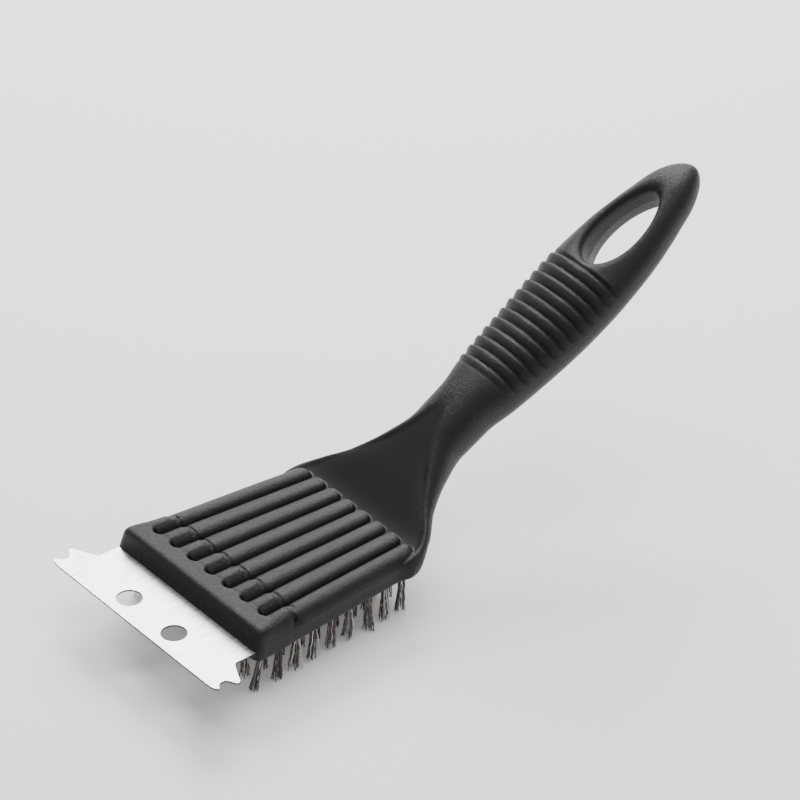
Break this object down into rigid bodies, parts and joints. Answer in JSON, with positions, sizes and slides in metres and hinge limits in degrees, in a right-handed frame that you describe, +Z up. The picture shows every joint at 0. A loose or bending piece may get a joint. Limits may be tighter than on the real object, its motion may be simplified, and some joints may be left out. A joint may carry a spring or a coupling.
{
  "type": "wire brush",
  "caption": "Hand wire brush: wire tufts under a ribbed plastic head with a flat steel scraper blade at its front and an angled grip with a hanging hole.",
  "frame": {"origin": "tips of the middle tuft of the wire field, on the floor the brush stands on", "axes": "+X from the scraper blade towards the handle's tip, +Y across the head, +Z up"},
  "size_m": [0.2185, 0.0844, 0.0942],
  "materials": {
    "moulding": "fine grain satin",
    "blade": "brushed across",
    "wire": "crimped wire",
    "anchor": "flat wire"
  },
  "bodies": {
    "root": {"handle": "moulding", "scraper_blade": "blade", "tuft_row_1": "wire", "anchor_row_1": "anchor", "tuft_row_2": "wire", "anchor_row_2": "anchor", "tuft_row_3": "wire", "anchor_row_3": "anchor", "tuft_row_4": "wire", "anchor_row_4": "anchor", "tuft_row_5": "wire", "anchor_row_5": "anchor", "tuft_row_6": "wire", "anchor_row_6": "anchor", "tuft_row_7": "wire", "anchor_row_7": "anchor", "tuft_row_8": "wire", "anchor_row_8": "anchor", "tuft_row_9": "wire", "anchor_row_9": "anchor"}
  },
  "joints": []
}
